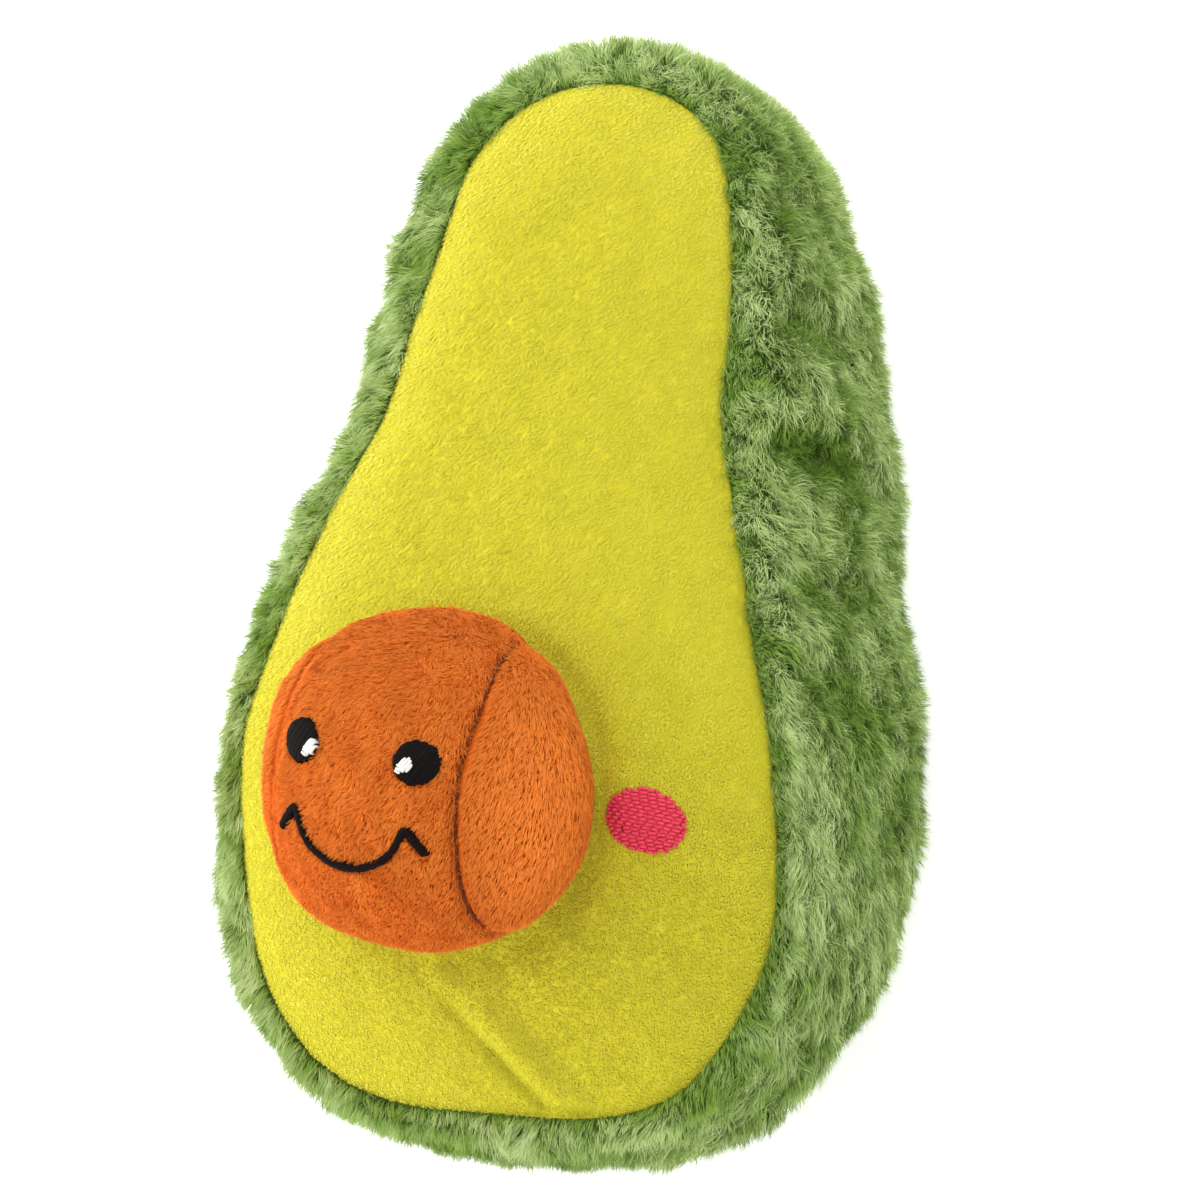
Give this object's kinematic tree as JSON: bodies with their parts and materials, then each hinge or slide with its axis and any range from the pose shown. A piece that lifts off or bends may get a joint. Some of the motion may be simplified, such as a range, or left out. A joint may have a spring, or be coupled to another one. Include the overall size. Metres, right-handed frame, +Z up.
{
  "type": "plush dog toy",
  "caption": "Soft plush dog toy shaped like half an avocado, with a smiling stuffed pit and a squeaker inside.",
  "frame": {"origin": "on the flat of the back that the toy lies on, halfway along the yellow panel", "axes": "+Z up out of the face, +Y along the body towards its narrow end, +X to the right as the face is seen"},
  "size_m": [0.1342, 0.2313, 0.1336],
  "materials": {
    "yellow_plush": "short pile",
    "green_fur": "long pile",
    "orange_plush": "short pile",
    "fibre_filling": "loose fibre",
    "black_thread": "satin stitch",
    "brown_thread": "satin stitch",
    "white_thread": "satin stitch",
    "pink_thread": "fill stitch",
    "squeaker_plastic": "satin",
    "reed_film": "gloss"
  },
  "bodies": {
    "toy": {"front_panel": "yellow_plush", "side_gusset": "green_fur", "back_panel": "green_fur", "body_stuffing": "fibre_filling", "pit_face_panel": "orange_plush", "pit_side_panel_left": "orange_plush", "pit_side_panel_right": "orange_plush", "pit_stuffing": "fibre_filling", "eye_left": "black_thread", "eye_right": "black_thread", "eye_glint_left": "white_thread", "eye_glint_right": "white_thread", "mouth": "brown_thread", "cheek_left": "pink_thread", "cheek_right": "pink_thread", "squeaker_pleats": "squeaker_plastic", "squeaker_rear_dome": "squeaker_plastic", "squeaker_reed_housing": "squeaker_plastic", "squeaker_reed_seat": "squeaker_plastic", "squeaker_reed_clamp": "squeaker_plastic"},
    "squeaker_dome": {"squeaker_front_dome": "squeaker_plastic"},
    "reed": {"squeaker_reed_tongue": "reed_film"}
  },
  "joints": [
    {"name": "squeaker_press", "type": "slide", "parent": "toy", "child": "squeaker_dome", "axis": [0, 0, -1], "range_m": [0, 0.008], "stiffness_N_per_m": 900, "deforming": ["squeaker_pleats"]},
    {"name": "reed_flex", "type": "hinge", "parent": "toy", "child": "reed", "pos_m": [-0.0042, -0.0485, 0.0598], "axis": [-1, 0, 0], "range_deg": [0, 5], "stiffness_Nm_per_rad": 0.0002}
  ]
}
